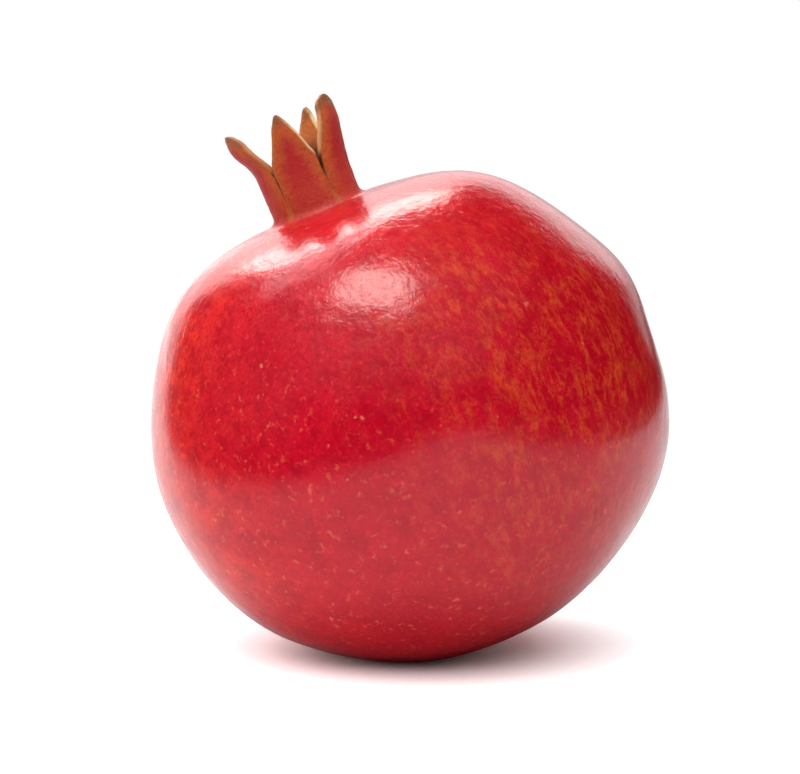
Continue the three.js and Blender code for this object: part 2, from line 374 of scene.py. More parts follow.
def fruit_rows():
    """Profile of the fruit before its sepals are drawn out, with where each row belongs.

    Up from the stalk's socket over the skin, up the outside of the cup, over its rim, down its
    inside and in to the middle of its floor.
    """
    rows = []  # radius, height, zone
    floor = SOCKET_DEPTH - SKIN[-1]
    for radius in (0, 0.8, 1.6, 2.3, 2.8, SOCKET_RADIUS - 0.1):
        rows.append((radius, floor, "skin"))
    for share in (0.3, 0.6):
        rows.append((SOCKET_RADIUS - 0.1, lerp(floor, -SKIN[-1], share), "skin"))
    for angle in (*DIMPLE_ANGLES, *SKIN_ANGLES):
        radius = skin_radius(angle)
        a = math.radians(angle)
        rows.append((radius * math.sin(a), radius * math.cos(a), "skin"))

    # The fillet leaves along the skin and ends upright, as a quadratic curve.
    before, start = (np.array(row[:2]) for row in rows[-2:])
    end = np.array((CUP_RADIUS, FOOT + FOOT_FILLET))
    corner = start + (start - before) * (end[0] - start[0]) / (start[0] - before[0])
    for share in np.arange(1, FILLET_ROWS + 1) / FILLET_ROWS:
        point = lerp(lerp(start, corner, share), lerp(corner, end, share), share)
        rows.append((*point, "cup"))

    base = FOOT + CUP_BASE
    for height in np.linspace(end[1], base, PLAIN_ROWS)[1:]:
        rows.append((CUP_RADIUS, height, "cup"))
    climb = 1 - (1 - np.linspace(0, 1, SEPAL_ROWS)[1:]) ** ROW_CROWDING
    bevel = (SEPAL_WALL - MARGIN_WALL) / 2
    for rise in climb[:-1]:
        rows.append((CUP_RADIUS - bevel * smoothstep(rise, 0.8, 1), base + rise * PLAIN_RIM, "cup"))
    for share in np.linspace(0, 1, RIM_ROWS):
        rows.append((CUP_RADIUS - bevel - MARGIN_WALL * share, base + PLAIN_RIM, "rim"))
    for rise in climb[-2::-1]:
        wall = lerp(CUP_WALL, SEPAL_WALL, min(rise / THINNING_FROM, 1))
        wall = lerp(wall, SEPAL_WALL - bevel, smoothstep(rise, THINNING_FROM, 1))
        rows.append((CUP_RADIUS - wall, base + rise * PLAIN_RIM, "inside"))
    inner = CUP_RADIUS - CUP_WALL
    floor = FOOT + CUP_FLOOR
    for height in np.linspace(base, floor + 0.9, PLAIN_ROWS):
        rows.append((inner, height, "inside"))
    rows += [(inner - 0.15, floor + 0.45, "inside"), (inner - 0.6, floor + 0.15, "inside")]
    for radius in (inner - 1.2, 5, 4, 3, 2, 1, 0):
        rows.append((radius, floor, "inside"))
    return rows


def curve(values, x):
    """Smooth curve through evenly spaced values, a row of them for each x; straight past its ends."""
    before = 2 * values[:, :1] - values[:, 1:2]
    after = 2 * values[:, -1:] - values[:, -2:-1]
    padded = np.concatenate((before, values, after), axis=1)
    i = np.clip(np.floor(x).astype(int), 0, values.shape[1] - 2)
    near = (padded[np.arange(len(x)), i + k] for k in range(4))
    return spline(*near, x - i)


def draw_sepals(points):
    """Draws the plain cup's rim out into sepals.

    Returns the points, how far up its sepal each is, how far it is from the nearest slit's line,
    along the skin, and how pale its side of the sepal is.
    """
    margins = []
    for sepal, following in zip(SEPALS, (*SEPALS[1:], SEPALS[0])):
        end = following["margin"][0]
        turns = 360 if end[0] < sepal["margin"][0][0] else 0
        margins.append((*sepal["margin"], (end[0] + turns, end[1])))
    margins = np.array(margins, dtype=float)
    leans, slits, folds, pales = (
        np.array([sepal[key] for sepal in SEPALS], dtype=float) for key in ("lean", "slit", "fold", "pale")
    )

    base = FOOT + CUP_BASE
    azimuth = np.degrees(np.arctan2(points[:, 0], -points[:, 1]))
    sector = (azimuth + SECTOR / 2 + 360 + 1e-6) % 360
    index = (sector // SECTOR).astype(int) % len(SEPALS)
    following = (index + 1) % len(SEPALS)
    plain = sector / SECTOR - index
    # Columns crowd towards the slits, where the detail is.
    across = plain - COLUMN_CROWDING * np.sin(math.tau * plain) / math.tau
    left, right = margins[index, 0, 0], margins[index, -1, 0]
    level = lerp(left, right, across)
    even = (index - 0.5 + plain) * SECTOR
    share = smoothstep(points[:, 2], FOOT - 2, base)
    start = azimuth + (level - even) * share

    stations = across * (margins.shape[1] - 1)
    rim_azimuth = curve(margins[index, :, 0], stations)
    rim_height = curve(margins[index, :, 1], stations)
    near_left = across < 0.5
    from_slit = np.radians(np.where(near_left, level - left, right - level)) * CUP_RADIUS
    slit = np.where(near_left, slits[index], slits[following])
    rim_height = rim_height - slit * np.exp(-((from_slit / SLIT_WIDTH) ** 2))

    above = points[:, 2] > base
    rise = np.clip((points[:, 2] - base) / PLAIN_RIM, 0, 1)
    height = np.where(above, lerp(base, FOOT + rim_height, rise), points[:, 2])
    angle = np.radians(np.where(above, lerp(start, start + rim_azimuth - level, rise), start))
    off_centre = np.abs(2 * across - 1)
    fold = folds[index] * np.sin(math.pi * off_centre) * rise**2
    radius = np.hypot(points[:, 0], points[:, 1])
    radius = radius + np.where(above, curve(leans[index], (height - base) / LEAN_STEP) - fold, 0)
    moved = np.stack((radius * np.sin(angle), -radius * np.cos(angle), height), axis=1)
    tip = margins[index, :, 1].max(axis=1)
    climb = (height - base) / (FOOT + tip - base)
    pale = lerp(pales[index, 0], pales[index, 1], smoothstep(across, 0.42, 0.58))
    return moved, np.clip(climb, -0.3, 1), from_slit, pale


def margin_distance(points, row, rows, from_slit, wanted):
    """How far each point of the calyx is from the nearest margin or slit's line."""
    rim = [i for i, (_, _, zone) in enumerate(rows) if zone == "rim"]
    middle = np.flatnonzero(row == rim[len(rim) // 2])
    tree = kdtree.KDTree(len(middle))
    for i in middle:
        tree.insert(points[i], i)
    tree.balance()
    apart = np.full(len(points), 99.0)
    for i in np.flatnonzero(wanted):
        apart[i] = min(tree.find(points[i])[2], from_slit[i] + 0.4)
    return np.maximum(apart - MARGIN_WALL / 2, 0)


def fruit_mesh():
    """Rind and calyx as one closed mesh in the fruit's own frame, with its attributes."""
    rows = fruit_rows()
    mesh = turned([row[:2] for row in rows], FRUIT_COLUMNS)
    row_layer = mesh.verts.layers.int["row"]
    row = np.array([v[row_layer] for v in mesh.verts])
    zone = np.array([r[2] for r in rows])[row]

    plain = coordinates(mesh)
    azimuth = np.arctan2(plain[:, 0], -plain[:, 1])
    points, climb, from_slit, pale = draw_sepals(plain)

    # A crease runs down from each slit to the foot.
    outer = (zone == "cup") | (zone == "rim")
    crease = CREASE_DEPTH * np.exp(-((from_slit / CREASE_WIDTH) ** 2)) * outer
    crease = crease * smoothstep(plain[:, 2], FOOT + 0.6, FOOT + CUP_BASE)
    points[:, 0] -= crease * np.sin(azimuth)
    points[:, 1] += crease * np.cos(azimuth)
    points = swell(shift_calyx(points))
    put(mesh, points)

    # Cut margins are round and a little worn.
    rim_start = FOOT + CUP_BASE + WORN_FROM * PLAIN_RIM
    worn = [v for v in mesh.verts if rows[v[row_layer]][1] > rim_start]
    for _ in range(WORN_PASSES):
        bmesh.ops.smooth_vert(
            mesh, verts=worn, factor=0.5, use_axis_x=True, use_axis_y=True, use_axis_z=True
        )
    points = coordinates(mesh)
    mesh.normal_update()
    normals = np.array([v.normal for v in mesh.verts])
    from_margin = margin_distance(points, row, rows, from_slit, plain[:, 2] > FOOT - 4)

    calyx = np.where(zone == "skin", 0.0, 1.0)
    calyx = np.where(zone == "cup", smoothstep(plain[:, 2], FOOT - 0.3, FOOT + 1.2), calyx)
    inside = np.where(zone == "inside", 1.0, np.where(zone == "rim", 0.5, 0.0))

    # Leathery skin: broad dents, then a finer unevenness.
    skin = 1 - calyx
    relief = skin * sum(ripple(points, bumps) for bumps in (SKIN_DENTS, SKIN_UNEVENNESS, SKIN_GRAIN))
    # Sepals: lengthwise ribs and a dried, crumpled surface.
    ribs = ripple(points * (1, 1, RIB_STRETCH), SEPAL_RIBS) + ripple(points, SEPAL_CRUMPLE)
    tip = smoothstep(climb, 0.7, 1.0)
    relief += calyx * (ribs + tip * ripple(points, TIP_CRUMPLE))
    # Fine pleats run out from the foot of the calyx on to the shoulder.
    out = np.hypot(points[:, 0], points[:, 1]) - CUP_RADIUS - PLEAT_MIDDLE
    spread = np.exp(-((out / PLEAT_SPREAD) ** 2))
    circle = PLEAT_TURNS * np.stack((np.cos(azimuth), np.sin(azimuth)), axis=1)
    pleats = np.column_stack((circle, points[:, 2] * 0.1))
    near_crown = (points[:, 2] > 30) * skin
    relief += near_crown * spread * ripple(pleats, SHOULDER_PLEATS)
    points = points + normals * relief[:, None]
    put(mesh, points)

    angle = np.arccos(np.clip(points[:, 2] / np.linalg.norm(points, axis=1), -1, 1))
    grain = GRAIN_RADIUS * MM * np.stack((np.cos(azimuth), np.sin(azimuth), angle), axis=1)
    attributes = {
        "grain": grain,
        "calyx": calyx,
        "inside": inside,
        "margin": from_margin,
        "climb": climb,
        "pale": pale,
    }
    return mesh, attributes


def press_flat(points, softness):
    """Presses what would be below the surface that the fruit rests on flat against it."""
    z = points[:, 2]
    eased = (z + softness) ** 2 / (4 * softness)
    points[:, 2] = np.where(z >= softness, z, np.where(z <= -softness, 0, eased))
    return points


# ------------------------------------------------------------------ Materials


def add(tree, kind, inputs=None, **settings):
    """Adds a shader node with its settings, its values and its links."""
    node = tree.nodes.new("ShaderNode" + kind)
    for name, value in settings.items():
        setattr(node, name, value)
    for key, value in (inputs or {}).items():
        if isinstance(value, bpy.types.NodeSocket):
            tree.links.new(value, node.inputs[key])
        else:
            node.inputs[key].default_value = value
    return node


def new_material(name):
    material = bpy.data.materials.new(name)
    material.use_nodes = True
    tree = material.node_tree
    tree.nodes.clear()
    return material, tree


def scale_of(millimetres):
    """Scale of a pattern whose features are this wide, on coordinates in metres."""
    return 1 / (millimetres * MM)


def ramp_mask(tree, ramps, strength=1.0):
    """Where something shows: a smooth ramp from none to full for each value and its two levels."""
    mask = strength
    for value, none, full in ramps:
        levels = {"Value": value, "From Min": none, "From Max": full}
        ramp = add(tree, "MapRange", levels, interpolation_type="SMOOTHSTEP").outputs["Result"]
        mask = add(tree, "Math", {0: ramp, 1: mask}, operation="MULTIPLY").outputs[0]
    return mask


def pattern_mask(tree, spaces, layer):
    """Where a layer of colour shows: a noise pattern between two levels, times its zones."""
    pattern = {
        "Vector": spaces[layer["space"]],
        "W": layer["seed"],
        "Scale": scale_of(layer["size"]),
        "Detail": layer.get("detail", 2.0),
        "Roughness": layer.get("roughness", 0.5),
        "Distortion": layer.get("distortion", 0.0),
    }
    noise_value = add(tree, "TexNoise", pattern, noise_dimensions="4D").outputs["Fac"]
    mask = ramp_mask(tree, ((noise_value, *layer["levels"]),), layer.get("strength", 1.0))
    if "zone" in layer:
        zone = add(tree, "Attribute", attribute_name=layer["zone"]).outputs["Fac"]
        mask = add(tree, "Math", {0: mask, 1: zone}, operation="MULTIPLY").outputs[0]
    return mask


# Layers of colour on the rind, from the lowest to the top one. size is how wide its blotches are,
# in millimetres, and levels are where the noise starts to show and where it is full. "place" runs
# the same way everywhere, "grain" and "streak" run along the meridians. The finest are drawn about
# twice as coarse as they grow, so that they show.
RIND_LAYERS = (
    dict(colour="blush", space="place", size=14, levels=(0.35, 0.7), strength=0.5, detail=4, seed=1),
    # Orange-red flushes: partly the peel's own sun blush, partly painted light where the lamps fall.
    dict(
        colour="sun_blush_and_painted_light", space="place", size=7, levels=(0.25, 0.6), detail=6,
        roughness=0.72, zone="sun_blush_and_painted_light", seed=2,
    ),
    # Dull red flushes: partly the peel's own colour, partly painted shade away from the lamps.
    dict(
        colour="shade", space="place", size=7, levels=(0.25, 0.6), detail=6,
        roughness=0.72, zone="dull_and_painted_shade", seed=3,
    ),
    dict(
        colour="streak", space="streak", size=2.2, levels=(0.45, 0.64), strength=0.8,
        detail=6, roughness=0.8, distortion=0.4, zone="streaked", seed=6,
    ),
    dict(
        colour="deep", space="place", size=3.4, levels=(0.44, 0.62), strength=0.6,
        detail=5, roughness=0.72, seed=4,
    ),
    dict(
        colour="deep", space="grain", size=0.9, levels=(0.48, 0.66), strength=0.55,
        detail=4, roughness=0.7, zone="dotted", seed=11,
    ),
    dict(
        colour="speckle", space="place", size=1.0, levels=(0.52, 0.68), strength=0.5,
        detail=3, roughness=0.65, seed=9,
    ),
    dict(
        colour="fleck", space="place", size=1.6, levels=(0.57, 0.75), strength=0.5,
        detail=2.5, roughness=0.55, zone="flecked", seed=7,
    ),
    dict(
        colour="cream", space="place", size=1.8, levels=(0.68, 0.8), strength=0.45,
        detail=2, roughness=0.5, seed=10,
    ),
)

# Lenticels, the dark pores: how far apart they are, and where a pore is full and where it ends,
# as shares of that. They are drawn 0.4 mm across, and real ones are finer.
PORE_SPACING = 0.95
PORE_FULL, PORE_END = 0.12, 0.3
PORE_DRIFTS = dict(space="place", size=3.2, levels=(0.3, 0.55), strength=0.7, zone="dotted", seed=8)


def rind_colour(tree, spaces, colours):
    """Blotchy crimson with flecks and dark pores, flushed orange-red partly by the sun it grew in and
    partly as painted light where the lamps fall, and duller partly as painted shade away from them.
    """
    colour = colours.crimson
    for layer in RIND_LAYERS:
        mask = pattern_mask(tree, spaces, layer)
        layers = {0: mask, 6: colour, 7: getattr(colours, layer["colour"])}
        colour = add(tree, "Mix", layers, data_type="RGBA").outputs[2]
    spread = {"Vector": spaces["place"], "Scale": scale_of(PORE_SPACING), "Randomness": 0.95}
    from_pore = add(tree, "TexVoronoi", spread).outputs["Distance"]
    pore = ramp_mask(tree, ((from_pore, PORE_END, PORE_FULL),), pattern_mask(tree, spaces, PORE_DRIFTS))
    return add(tree, "Mix", {0: pore, 6: colour, 7: colours.lenticel}, data_type="RGBA").outputs[2]


def calyx_colour(tree, place, crumple, colours):
    """Red in the middle of each sepal, tan towards its margins and brown at its dried tip, with painted
    shade deep in the cup and along the slits, and a painted highlight, in part, on some margins.
    """
    margin, climb, inside, pale = (
        add(tree, "Attribute", attribute_name=name).outputs["Fac"]
        for name in ("margin", "climb", "inside", "pale")
    )
    blotches = {"Vector": place, "Scale": scale_of(2.6), "Detail": 5.0, "Roughness": 0.7}
    wander = add(tree, "TexNoise", blotches).outputs["Fac"]
    # The distance from a margin and the height up a sepal, made to wander by the blotches.
    from_margin, drying, low = (
        add(tree, "Math", {0: wander, 1: share, 2: measure}, operation="MULTIPLY_ADD").outputs[0]
        for share, measure in ((2.4, margin), (0.5, climb), (0.3, climb))
    )
    # Painted shade: the lining turns dark brown towards the floor of the cup.
    depth = {0: ramp_mask(tree, ((low, 0.85, 0.5),)), 6: colours.lining, 7: colours.painted_cup_shade}
    lining = add(tree, "Mix", depth, data_type="RGBA").outputs[2]
    # Painted shadow in the slits: dark brown along the margins low down, where two sepals meet.
    notch = ((margin, 0.4, 0.1), (climb, 0.48, 0.38), (climb, 0.05, 0.3))
    peel = colours.sepal
    for tint, strength, ramps in (
        (colours.base, 0.8, ((low, 0.55, 0.2),)),
        (colours.margin, 0.9, ((from_margin, 4.4, 1.9), (low, -0.1, 0.5))),
        (colours.olive, 0.4, ((from_margin, 1.9, 1.2),)),
        (colours.stain, 0.45, ((crumple, 0.48, 0.74),)),
        (lining, 1.0, ((inside, 0.3, 0.9),)),
        (colours.painted_cup_shade, 1.0, notch),
        # Yellow margins: partly their own dry colour, partly a painted highlight where the lamps catch
        # them.
        (colours.straw_and_painted_highlight, pale, ((margin, 0.4, 0.05), (climb, 0.38, 0.52))),
        (colours.dried, 0.85, ((drying, 1.02, 1.25),)),
    ):
        tints = {0: ramp_mask(tree, ramps, strength), 6: peel, 7: tint}
        peel = add(tree, "Mix", tints, data_type="RGBA").outputs[2]
    return peel


PEEL_IOR, WAX_IOR = 1.43, 1.45
WAX_WEIGHT, WAX_ROUGHNESS = 0.25, 0.15
SMOOTHEST, ROUGHEST = 0.175, 0.27  # roughness of the waxed rind
CALYX_ROUGHNESS = 0.62
WRINKLE_DEPTH, STRIA_DEPTH, CRUMPLE_DEPTH = 0.19, 0.05, 0.17
LEAST_WRINKLED = 0.25


def rind_material(colours):
    """Ripe pomegranate rind: a thin leathery peel, naturally waxed and polished by handling.

    The wax gives a clear, slightly broken highlight over a saturated, blotchy red. The calyx is
    the same peel without the wax, dried and matt.
    """
    material, tree = new_material("waxed_rind")
    place = add(tree, "TexCoord").outputs["Object"]
    grain = add(tree, "Attribute", attribute_name="grain").outputs["Vector"]
    streak = add(tree, "Mapping", {"Vector": grain, "Scale": (1, 1, 0.5)}).outputs[0]
    calyx, wrinkled = (
        add(tree, "Attribute", attribute_name=name).outputs["Fac"] for name in ("calyx", "wrinkled")
    )
    crumple, waxed, wrinkle, stria = (
        add(tree, "TexNoise", {"Vector": space, "Scale": scale_of(size), **settings}).outputs["Fac"]
        for space, size, settings in (
            (place, 0.6, {"Detail": 3.0, "Roughness": 0.6}),
            (place, 3.0, {"Detail": 3.0, "Roughness": 0.6}),
            (place, 2.1, {"Detail": 3.0, "Roughness": 0.55, "Distortion": 0.3}),
            (streak, 1.1, {"Detail": 3.0, "Roughness": 0.5}),
        )
    )
    rind = rind_colour(tree, {"place": place, "grain": grain, "streak": streak}, colours)
    peel = calyx_colour(tree, place, crumple, colours)
    colour = add(tree, "Mix", {0: calyx, 6: rind, 7: peel}, data_type="RGBA").outputs[2]

    # Wax fills most of the pores: the gloss varies a little, and stops at the calyx.
    gloss = {"Value": waxed, "From Min": 0.3, "From Max": 0.7, "To Min": SMOOTHEST, "To Max": ROUGHEST}
    rough = {0: calyx, 2: add(tree, "MapRange", gloss).outputs[0], 3: CALYX_ROUGHNESS}
    wax = {0: calyx, 2: WAX_WEIGHT, 3: 0.0}

    # Relief: wrinkles 2 mm wide where the skin has shrunk, lengthwise striae, and bark-like crumpling.
    shrunk = {0: wrinkled, 1: 1 - LEAST_WRINKLED, 2: LEAST_WRINKLED}
    shrunk = add(tree, "Math", shrunk, operation="MULTIPLY_ADD").outputs[0]
    bark = add(tree, "Math", {0: crumple, 1: calyx}, operation="MULTIPLY").outputs[0]
    relief = {}
    for height, depth, strength in (
        (wrinkle, WRINKLE_DEPTH, shrunk), (stria, STRIA_DEPTH, 1.0), (bark, CRUMPLE_DEPTH, 1.0)
    ):
        bump = {"Height": height, "Distance": depth * MM, "Strength": strength, **relief}
        relief = {"Normal": add(tree, "Bump", bump).outputs[0]}

    skin = {
        "Base Color": colour,
        "Roughness": add(tree, "Mix", rough, data_type="FLOAT").outputs[0],
        "IOR": PEEL_IOR,
        "Coat Weight": add(tree, "Mix", wax, data_type="FLOAT").outputs[0],
        "Coat Roughness": WAX_ROUGHNESS,
        "Coat IOR": WAX_IOR,
        **relief,
    }
    shader = add(tree, "BsdfPrincipled", skin).outputs[0]
    add(tree, "OutputMaterial", {"Surface": shader})
    return material


def dried_material(name, light, dark, size):
    """Withered plant tissue, air dried: matt, fibrous, tan with darker brown ends."""
    material, tree = new_material(name)
    place = add(tree, "TexCoord").outputs["Object"]
    fibres = {"Vector": place, "Scale": scale_of(size), "Detail": 4.0, "Roughness": 0.65}
    fibre = add(tree, "TexNoise", fibres).outputs["Fac"]
    tints = {0: ramp_mask(tree, ((fibre, 0.35, 0.65),)), 6: light, 7: dark}
    tissue = {
        "Base Color": add(tree, "Mix", tints, data_type="RGBA").outputs[2],
        "Roughness": 0.85,
        "IOR": 1.4,
        "Normal": add(tree, "Bump", {"Height": fibre, "Distance": 0.1 * MM, "Strength": 1.0}).outputs[0],
    }
    shader = add(tree, "BsdfPrincipled", tissue).outputs[0]
    add(tree, "OutputMaterial", {"Surface": shader})
    return material


# The table top throws white light back at the fruit, shows over-exposed itself, and is mirrored in
# the skin as a greyer patch with edges. Lengths are metres from the resting spot.
OVEREXPOSED = (1.6, 1.7, 1.7, 1.0)
WHITE = (1.0, 1.0, 1.0, 1.0)
PURE_WHITE_FROM, PURE_WHITE_TO = 0.12, 0.3
CONTACT_SHADE = 0.8  # painted contact shadow: how dark the floor is mirrored next to the spot
CONTACT_START, CONTACT_END = 0.022, 0.046
SHEEN_RADIANCE = 1.25  # of the table behind the fruit, where it mirrors the backdrop itself
RIGHT_SHEEN = 0.6


def floor_material(settings):
    """White laminate table top, matt and evenly lit, so that it runs to pure white.

    The skin mirrors it a shade darker, brighter behind the fruit as a painted reflection of the backdrop,
    dark next to its resting spot as a painted contact shadow, and dark past its edges as a painted dark
    room.
    """
    material, tree = new_material("white_laminate")
    material.cycles.emission_sampling = "NONE"
    path = add(tree, "LightPath").outputs
    seen, glossy = path["Is Camera Ray"], path["Is Glossy Ray"]
    place = add(tree, "TexCoord").outputs["Object"]
    far = add(tree, "VectorMath", {0: place}, operation="LENGTH").outputs["Value"]
    right, back, slant = (
        add(tree, "VectorMath", {0: place, 1: way}, operation="DOT_PRODUCT").outputs["Value"]
        for way in ((1, 0, 0), (0, 1, 0), (1, 0.667, 0))
    )
    white, mirrored, dark_room_and_contact_shade, exposed = (
        add(tree, "BsdfDiffuse", {"Color": colour}).outputs[0]
        for colour in (settings.floor_colour, settings.mirrored_floor, settings.mirrored_dark_and_contact_shade, OVEREXPOSED)
    )
    glow, sheen = (
        add(tree, "Emission", {"Color": WHITE, "Strength": strength}).outputs[0]
        for strength in (1.0, SHEEN_RADIANCE)
    )
    table = ramp_mask(tree, ((slant, -0.175, -0.12), (right, 0.33, 0.26)))
    past_edges = add(tree, "Math", {0: 1.0, 1: table}, operation="SUBTRACT").outputs[0]
    contact = add(tree, "Math", {0: glossy, 1: CONTACT_SHADE}, operation="MULTIPLY").outputs[0]
    sides = {
        0: ramp_mask(tree, ((right, 0.0, -0.06),)),
        1: ramp_mask(tree, ((right, 0.02, 0.08),), RIGHT_SHEEN),
    }
    shone = add(tree, "Math", sides, operation="MAXIMUM").outputs[0]
    shone = add(tree, "Math", {0: shone, 1: glossy}, operation="MULTIPLY").outputs[0]
    surface = white
    for amount, shader in (
        (glossy, mirrored),
        # Painted shadow: next to the resting spot the floor turns dark for mirrored rays, as a contact
        # shadow.
        (ramp_mask(tree, ((far, CONTACT_END, CONTACT_START),), contact), dark_room_and_contact_shade),
        (ramp_mask(tree, ((back, -0.03, 0.04),), shone), sheen),
        # Painted dark room: past the table's edges the floor is dark to every ray but the camera's.
        (past_edges, dark_room_and_contact_shade),
        (seen, exposed),
        (ramp_mask(tree, ((far, PURE_WHITE_FROM, PURE_WHITE_TO),), seen), glow),
    ):
        surface = add(tree, "MixShader", {0: amount, 1: surface, 2: shader}).outputs[0]
    add(tree, "OutputMaterial", {"Surface": surface})
    return material


# ------------------------------------------------------------------ Settings


class FruitSettings(bpy.types.PropertyGroup):
    """Where and how the fruit rests."""

    lean: angle_property("Lean", "How far the crown leans from upright, to the left", 24)
    nod: angle_property("Nod", "How far the crown leans to the back", 2)
    middle_x: length_property("Middle X", "Middle of the fruit, to the right of its resting spot", 2.1)
    middle_y: length_property("Middle Y", "Middle of the fruit, behind its resting spot", -0.5)
    middle_z: length_property("Middle Z", "Middle of the fruit, above its resting spot", 44.2)
    softness: length_property("Softness", "How gently the pressed spot meets the round skin", 0.35)


class RindColours(bpy.types.PropertyGroup):
    """Colours of the peel."""

    crimson: colour_property("Crimson", "Main colour of the rind", "#B60020")
    blush: colour_property("Blush", "Lighter blotches", "#CC0626")
    # Partly the peel's own sun blush, partly painted light on the sides that the lamps light.
    sun_blush_and_painted_light: colour_property("Sunned", "Orange-red of the sunned side", "#EC3424")
    # Partly duller peel, partly painted shade on the sides away from the lamps.
    shade: colour_property("Shade", "Duller red of the shaded side", "#A2040E")
    deep: colour_property("Deep", "Dark mottling", "#A2001A")
    streak: colour_property("Streak", "Russet mottling, drawn out along the meridians", "#CE4E20")
    speckle: colour_property("Speckle", "Fine lighter speckle", "#D82030")
    cream: colour_property("Cream", "Small healed scars", "#E88C70")
    fleck: colour_property("Fleck", "Pale yellowish flecks", "#E8684A")
    lenticel: colour_property("Lenticel", "Dark red pores", "#920818")
    sepal: colour_property("Sepal", "Middle of each sepal", "#BE2A2C")
    base: colour_property("Base", "Foot of the calyx", "#C03A2A")
    margin: colour_property("Margin", "Towards the margins of the calyx", "#C65E2A")
    olive: colour_property("Olive", "Olive tint along the margins", "#AC7430")
    stain: colour_property("Stain", "Small dark stains on the calyx", "#8E2A1C")
    lining: colour_property("Lining", "Inside of the sepals", "#C4682E")
    # Painted shade deep in the cup and in the slits between the sepals.
    painted_cup_shade: colour_property("Hollow", "Inside of the cup, withered brown", "#5A2616")
    # Partly the margins' own dry colour, partly a painted highlight where the lamps catch them.
    straw_and_painted_highlight: colour_property("Straw", "Cut margins where they show pale", "#F0CE98")
    dried: colour_property("Dried", "Dried tips of the sepals", "#8E5632")


class CalyxSettings(bpy.types.PropertyGroup):
    """What stands inside the calyx."""

    filaments: bpy.props.IntProperty(
        name="Filaments", description="Number of withered stamens", default=78, min=1, max=200
    )
    filament_width: length_property("Filament width", "Thickness of a dried filament", 0.32)
    anther: colour_property("Anther", "Dried anthers", "#6A4522")
    filament: colour_property("Filament", "Dried filaments", "#B98A4C")
    stalk: colour_property("Stalk", "Weathered wood of the stalk's stub", "#7A5B3E")
    pith: colour_property("Pith", "Broken end of the stub", "#A98A5E")


class StudioSettings(bpy.types.PropertyGroup):
    """Floor, lights and camera."""

    floor_colour: colour_property("Floor", "White table top", "#FCFCFC")
    mirrored_floor: colour_property("Mirrored floor", "The table top as the skin mirrors it", "#C8C8C8")
    # Dark of the room past the table's edges, painted on the floor, and of the painted contact shadow.
    mirrored_dark_and_contact_shade: colour_property("Surround", "Dark room past the table's edges, as mirrored", "#303030")
    lamp_colour: colour_property("Lamps", "Slightly warm cloth of the two soft boxes", "#FFF4EE")
    elevation: angle_property("Camera elevation", "Height of the camera above the horizon", 8)
    distance: bpy.props.FloatProperty(
        name="Camera distance", description="From the camera to the fruit", default=0.8, unit="LENGTH"
    )
    width: bpy.props.FloatProperty(
        name="View width", description="Width of the view at the fruit", default=0.1476, unit="LENGTH"
    )


# ------------------------------------------------------------------ Operators


class POMEGRANATE_OT_fruit(bpy.types.Operator):
    """Grow the fruit: its rind and the calyx that is one with it"""

    bl_idname = "pomegranate.fruit"
    bl_label = "Fruit"

    def execute(self, context):
        mesh, attributes = fruit_mesh()
        scene = context.scene
        points = to_row(coordinates(mesh))
        for name, flushes in FLUSHES.items():
            table = [(90 - height, azimuth, spread, rise) for azimuth, height, spread, rise in flushes]
            attributes[name] = np.clip(mounds(points - fruit_middle(), table), 0, 1)
        put(mesh, press_flat(points, scene.pomegranate_fruit.softness))
        material = rind_material(scene.pomegranate_colours)
        finish_piece("fruit_rind", mesh, material, "fruit", attributes)
        return {"FINISHED"}


GOLDEN_TURN = 0.618034  # share of a turn from one filament to the next
FILAMENT_STEPS = 5
FILAMENT_SIDES = 5
FILAMENT_TAPER = 0.94  # from one step to the next
ANTHER_RADII = Vector((0.42, 0.34, 0.62))


def filament_path(rng, number, floor):
    """Middle line of one filament: up from the cup's floor, curling in towards the style."""
    azimuth = math.tau * (number * GOLDEN_TURN) + rng.uniform(-0.1, 0.1)
    tier = rng.random()
    top = FOOT + lerp(3.6, STAMENS_TOP - 0.7, rng.random())
    outer = lerp(3.2, STAMENS_RADIUS - 0.35, tier)
    inner = lerp(1.5, outer - 0.6, rng.random())
    twist = rng.uniform(-0.7, 0.7)
    path = []
    for step in range(FILAMENT_STEPS + 1):
        t = step / FILAMENT_STEPS
        radius = lerp(outer, inner, t**1.6) + 0.25 * math.sin(t * 5 + number)
        radius = min(radius, STAMENS_RADIUS - 0.3)
        a = azimuth + twist * t * t
        path.append(Vector((radius * math.sin(a), -radius * math.cos(a), lerp(floor, top, t))))
    return path


def draw_filament(mesh, path, width):
    """Extrudes a filament along its middle line, tapering it."""
    made = bmesh.ops.create_circle(mesh, cap_ends=True, radius=width / 2, segments=FILAMENT_SIDES)["verts"]
    face = made[0].link_faces[0]
    bmesh.ops.translate(mesh, verts=made, vec=path[0])
    for a, b in zip(path, path[1:]):
        out = bmesh.ops.extrude_face_region(mesh, geom=[face], use_keep_orig=(a is path[0]))
        face = [g for g in out["geom"] if isinstance(g, bmesh.types.BMFace)][0]
        bmesh.ops.translate(mesh, verts=face.verts, vec=b - a)
        taper = (FILAMENT_TAPER,) * 3
        bmesh.ops.scale(mesh, verts=face.verts, vec=taper, space=Matrix.Translation(-b))


def set_anther(mesh, rng, place):
    """Sets a shrivelled anther at the end of a filament."""
    anther = bmesh.ops.create_icosphere(mesh, subdivisions=1, radius=1.0)["verts"]
    bmesh.ops.scale(mesh, verts=anther, vec=ANTHER_RADII * rng.uniform(0.8, 1.15))
    tilt = Euler((rng.uniform(-0.9, 0.9), rng.uniform(-0.9, 0.9), rng.uniform(0, 6.3))).to_matrix()
    bmesh.ops.rotate(mesh, verts=anther, matrix=tilt)
    bmesh.ops.translate(mesh, verts=anther, vec=place)


